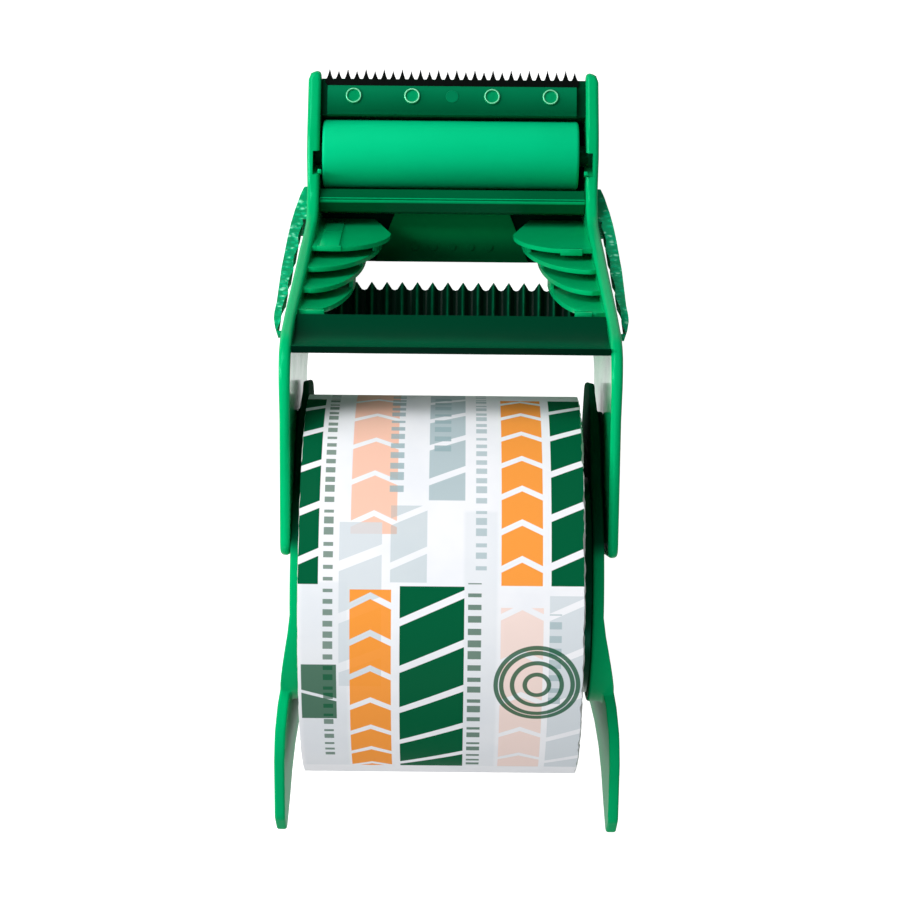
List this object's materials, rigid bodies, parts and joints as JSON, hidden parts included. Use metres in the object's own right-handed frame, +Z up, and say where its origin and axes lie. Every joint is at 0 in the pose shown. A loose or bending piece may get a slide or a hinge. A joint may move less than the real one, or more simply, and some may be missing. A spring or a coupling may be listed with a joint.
{
  "type": "hand-held packing tape dispenser",
  "caption": "Hand-held packing tape dispenser with a loaded roll, applicator roller, toothed cutting blade, ridged guide comb and finger grips, lying on its back.",
  "frame": {"origin": "middle of the footprint, on the surface that the dispenser lies on", "axes": "+X across the tool, +Y from the tape roll towards the blade, +Z up from the rest face"},
  "size_m": [0.0622, 0.1448, 0.0691],
  "materials": {
    "frame_green": "glossy moulded, green",
    "grip_green": "semi-gloss moulded with soft bars, green",
    "clamp_green": "glossy moulded, green",
    "roller_green": "satin, bright green",
    "blade_black": "satin black",
    "core_card": "matt card",
    "tape_film": "glossy printed film"
  },
  "bodies": {
    "frame": {"left_side_plate": "frame_green", "right_side_plate": "frame_green", "left_hub_arm": "frame_green", "right_hub_arm": "frame_green", "left_core_spigot": "frame_green", "right_core_spigot": "frame_green", "left_finger_ribs": "frame_green", "right_finger_ribs": "frame_green", "left_grip_pad": "grip_green", "right_grip_pad": "grip_green", "rear_palm_plate": "frame_green", "roller_beam": "frame_green", "blade_carrier": "frame_green", "serrated_blade": "blade_black", "blade_clamp": "clamp_green", "clamp_stakes": "clamp_green", "guide_comb": "frame_green", "lower_crossbar": "frame_green"},
    "roller": {"applicator_roller": "roller_green", "left_roller_plug": "roller_green", "right_roller_plug": "roller_green"},
    "tape": {"tape_core": "core_card", "tape_roll": "tape_film"}
  },
  "joints": [
    {"name": "roller_spin", "type": "hinge", "parent": "frame", "child": "roller", "pos_m": [0, 0.05635, 0.0112], "axis": [1, 0, 0], "continuous": true},
    {"name": "tape_spin", "type": "hinge", "parent": "frame", "child": "tape", "pos_m": [0, -0.02945, 0.036], "axis": [1, 0, 0], "continuous": true}
  ]
}
